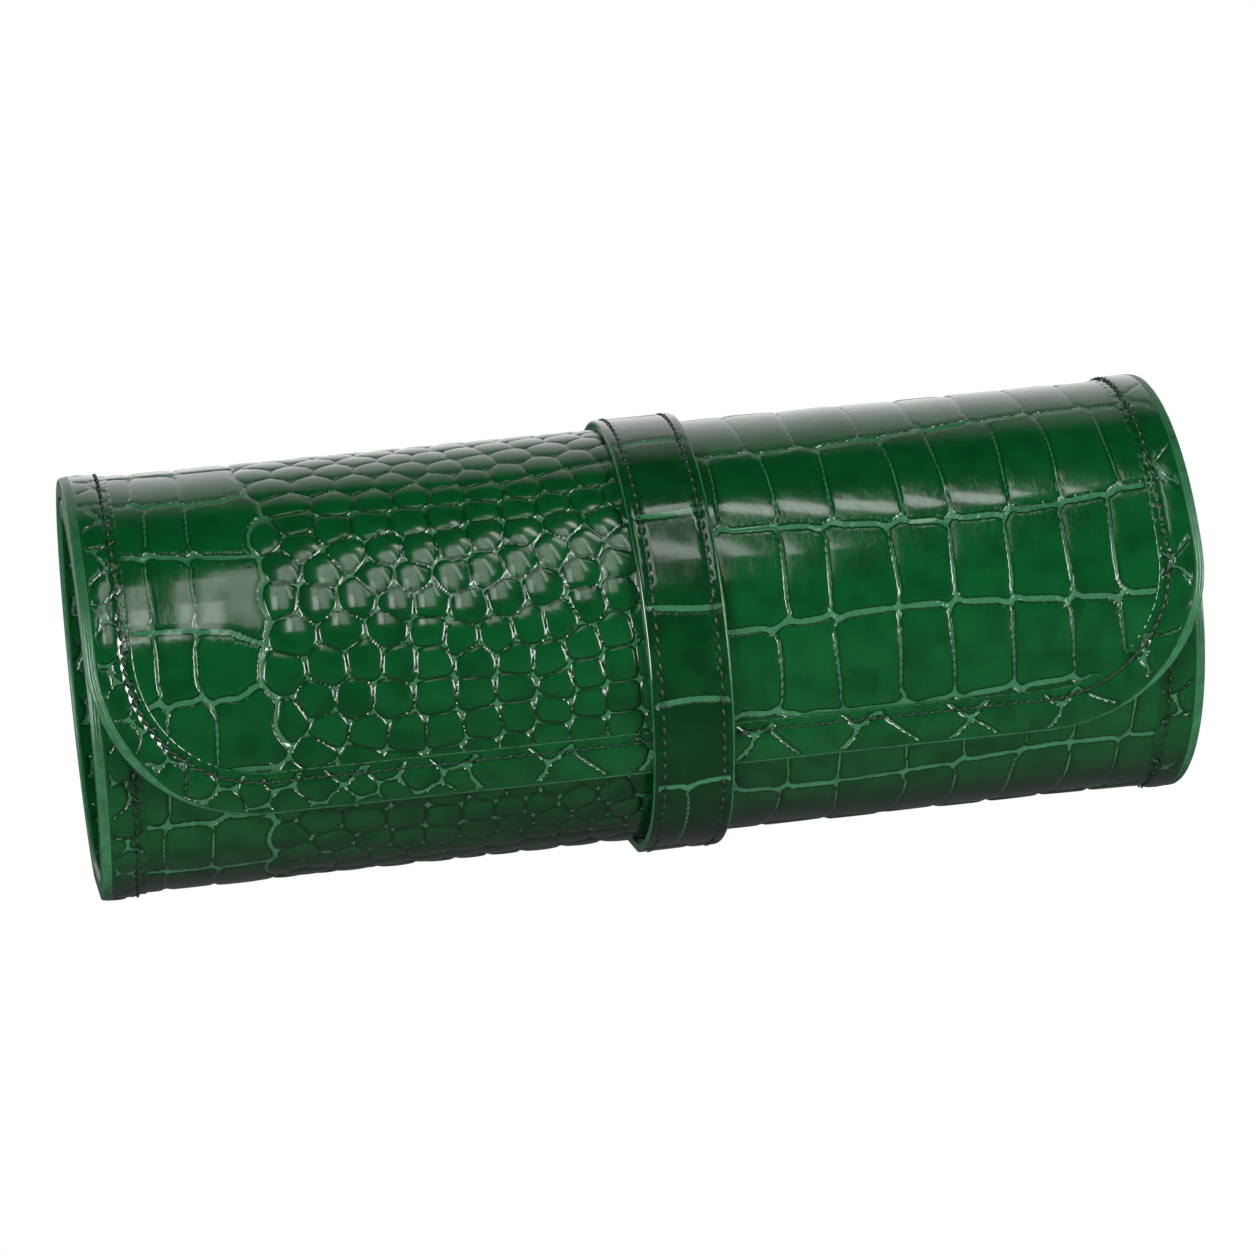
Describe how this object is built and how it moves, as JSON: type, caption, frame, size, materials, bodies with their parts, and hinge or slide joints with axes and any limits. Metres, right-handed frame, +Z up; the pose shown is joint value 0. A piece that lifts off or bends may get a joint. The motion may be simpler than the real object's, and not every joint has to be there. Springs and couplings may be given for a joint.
{
  "type": "rolled jewelry organizer pouch",
  "caption": "Rolled travel pouch for jewelry in glossy embossed leather, with a flap and a wrap strap, that rolls open flat to show a padded ring bar, a zip pocket and a slip pocket.",
  "frame": {"origin": "under the middle of the closed roll, on the surface it rests on", "axes": "+X along the roll, towards the right end as seen from the strap's front; +Z up; the flap closes over the front, which faces -Y"},
  "size_m": [0.235, 0.0962, 0.0921],
  "materials": {
    "embossed_leather": "glossy patent leather, embossed with large scales",
    "strap_leather": "glossy patent leather, embossed",
    "suede_lining": "matte suede with painted edges",
    "soft_suede": "matte suede cloth",
    "zip_tape": "woven tape",
    "pale_metal": "polished",
    "magnet_steel": "plain"
  },
  "bodies": {
    "flap_tip": {"skin_flap_tip": "embossed_leather", "border_flap_tip": "embossed_leather", "lining_flap_tip": "suede_lining", "strap_flap_tip": "strap_leather"},
    "flap_front": {"skin_flap_front": "embossed_leather", "border_left_flap_front": "embossed_leather", "border_right_flap_front": "embossed_leather", "lining_flap_front": "suede_lining", "strap_flap_front": "strap_leather"},
    "flap_top": {"skin_flap_top": "embossed_leather", "border_left_flap_top": "embossed_leather", "border_right_flap_top": "embossed_leather", "lining_flap_top": "suede_lining", "strap_flap_top": "strap_leather"},
    "back_upper": {"skin_back_upper": "embossed_leather", "border_left_back_upper": "embossed_leather", "border_right_back_upper": "embossed_leather", "lining_back_upper": "suede_lining", "strap_back_upper": "strap_leather"},
    "back_lower": {"skin_back_lower": "embossed_leather", "border_left_back_lower": "embossed_leather", "border_right_back_lower": "embossed_leather", "lining_back_lower": "suede_lining"},
    "base": {"skin_base": "embossed_leather", "border_left_base": "embossed_leather", "border_right_base": "embossed_leather", "lining_base": "suede_lining", "base_magnet": "magnet_steel", "slip_pocket_lower": "soft_suede"},
    "front_inner": {"skin_front_inner": "embossed_leather", "border_left_front_inner": "embossed_leather", "border_right_front_inner": "embossed_leather", "lining_front_inner": "suede_lining", "slip_pocket_upper": "soft_suede"},
    "front_upper": {"skin_front_upper": "embossed_leather", "border_left_front_upper": "embossed_leather", "border_right_front_upper": "embossed_leather", "lining_front_upper": "suede_lining", "zip_pocket_lower": "soft_suede"},
    "top_inner": {"skin_top_inner": "embossed_leather", "border_left_top_inner": "embossed_leather", "border_right_top_inner": "embossed_leather", "lining_top_inner": "suede_lining", "zip_pocket_upper": "soft_suede", "zip_tape": "zip_tape", "zip_chain": "pale_metal"},
    "inner_end": {"skin_inner_end": "embossed_leather", "border_inner_end": "embossed_leather", "lining_inner_end": "suede_lining", "ring_bar_anchor": "suede_lining", "ring_bar_snap_stud": "pale_metal"},
    "strap_tail_upper": {"strap_tail_upper": "strap_leather"},
    "strap_tail_lower": {"strap_tail_lower": "strap_leather", "strap_magnet": "magnet_steel"},
    "ring_bar": {"ring_bar_cushion": "soft_suede", "ring_bar_tab": "suede_lining", "ring_bar_snap_cap": "pale_metal"},
    "zip_slider": {"zip_slider": "pale_metal"},
    "zip_pull": {"zip_pull": "pale_metal"}
  },
  "joints": [
    {"name": "unroll", "type": "hinge", "parent": "base", "child": "back_lower", "pos_m": [0, 0.02175, 0.0047], "axis": [-1, 0, 0], "range_deg": [0, 50]},
    {"name": "bend_back_upper", "type": "hinge", "parent": "back_lower", "child": "back_upper", "pos_m": [0, 0.04623, 0.03735], "axis": [-1, 0, 0], "range_deg": [0, 50]},
    {"name": "bend_flap_top", "type": "hinge", "parent": "back_upper", "child": "flap_top", "pos_m": [0, 0.03493, 0.07787], "axis": [-1, 0, 0], "range_deg": [0, 50]},
    {"name": "bend_flap_front", "type": "hinge", "parent": "flap_top", "child": "flap_front", "pos_m": [0, -0.00601, 0.09182], "axis": [-1, 0, 0], "range_deg": [0, 50]},
    {"name": "bend_flap_tip", "type": "hinge", "parent": "flap_front", "child": "flap_tip", "pos_m": [0, -0.04186, 0.06653], "axis": [-1, 0, 0], "range_deg": [0, 50]},
    {"name": "bend_tail_upper", "type": "hinge", "parent": "flap_tip", "child": "strap_tail_upper", "pos_m": [0, -0.04337, 0.02158], "axis": [-1, 0, 0], "range_deg": [0, 57.5]},
    {"name": "bend_tail_lower", "type": "hinge", "parent": "strap_tail_upper", "child": "strap_tail_lower", "pos_m": [0, -0.00571, -0.00015], "axis": [-1, 0, 0], "range_deg": [0, 55]},
    {"name": "bend_front_inner", "type": "hinge", "parent": "base", "child": "front_inner", "pos_m": [0, -0.01844, 0.00531], "axis": [1, 0, 0], "range_deg": [0, 50]},
    {"name": "bend_front_upper", "type": "hinge", "parent": "front_inner", "child": "front_upper", "pos_m": [0, -0.04119, 0.03768], "axis": [1, 0, 0], "range_deg": [0, 50]},
    {"name": "bend_top_inner", "type": "hinge", "parent": "front_upper", "child": "top_inner", "pos_m": [0, -0.02858, 0.07451], "axis": [1, 0, 0], "range_deg": [0, 50]},
    {"name": "bend_inner_end", "type": "hinge", "parent": "top_inner", "child": "inner_end", "pos_m": [0, 0.00804, 0.08576], "axis": [1, 0, 0], "range_deg": [0, 50]},
    {"name": "ring_bar_lift", "type": "hinge", "parent": "inner_end", "child": "ring_bar", "pos_m": [-0.07515, 0.02239, 0.07319], "axis": [0, 0.809, -0.5878], "range_deg": [0, 12]},
    {"name": "zip_slide", "type": "slide", "parent": "top_inner", "child": "zip_slider", "axis": [1, 0, 0], "range_m": [0, 0.181]},
    {"name": "zip_pull_flip", "type": "hinge", "parent": "zip_slider", "child": "zip_pull", "pos_m": [-0.0937, -0.00019, 0.07669], "axis": [0, 0.9986, 0.0523], "range_deg": [0, 90]}
  ],
  "couplings": [
    {"joint": "bend_back_upper", "follows": "unroll", "ratio": 1},
    {"joint": "bend_flap_top", "follows": "unroll", "ratio": 1},
    {"joint": "bend_flap_front", "follows": "unroll", "ratio": 1},
    {"joint": "bend_flap_tip", "follows": "unroll", "ratio": 1},
    {"joint": "bend_tail_upper", "follows": "unroll", "ratio": 1.15},
    {"joint": "bend_tail_lower", "follows": "unroll", "ratio": 1.1},
    {"joint": "bend_front_inner", "follows": "unroll", "ratio": 1},
    {"joint": "bend_front_upper", "follows": "unroll", "ratio": 1},
    {"joint": "bend_top_inner", "follows": "unroll", "ratio": 1},
    {"joint": "bend_inner_end", "follows": "unroll", "ratio": 1}
  ]
}
